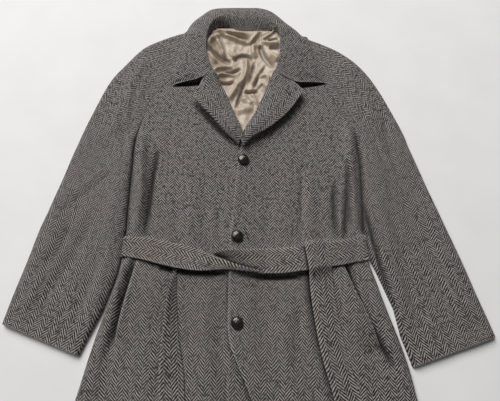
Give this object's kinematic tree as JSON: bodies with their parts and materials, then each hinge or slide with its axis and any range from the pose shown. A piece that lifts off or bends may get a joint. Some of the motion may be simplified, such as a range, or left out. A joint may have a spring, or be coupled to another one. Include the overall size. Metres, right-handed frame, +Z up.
{
  "type": "overcoat",
  "caption": "Herringbone wool overcoat with raglan sleeves, notched collar and lapels, slanted pockets, satin neck lining and a loosely tied cloth belt, laid flat on its back",
  "frame": {"origin": "middle of the coat in plan, on the surface it lies on", "axes": "+Y from the hem to the collar, +Z up from the surface it lies on, +X to the wearer's left"},
  "size_m": [1.036, 1.134, 0.037],
  "materials": {
    "wool": "matt brown-grey herringbone tweed with a light and a dark yarn",
    "satin": "soft-gloss champagne satin, crumpled",
    "button": "polished dark brown woven leather"
  },
  "bodies": {
    "root": {"back": "wool", "front_right": "wool", "front_left": "wool", "sleeve_front_right": "wool", "sleeve_back_right": "wool", "sleeve_front_left": "wool", "sleeve_back_left": "wool", "collar": "wool", "lapel_right": "wool", "lapel_left": "wool", "lining": "satin", "pocket_welt_right": "wool", "pocket_welt_left": "wool", "belt_right": "wool", "belt_left": "wool", "belt_tail_right": "wool", "belt_tail_left": "wool", "belt_back": "wool", "belt_loop": "wool", "button_1": "button", "button_2": "button", "button_3": "button"}
  },
  "joints": []
}
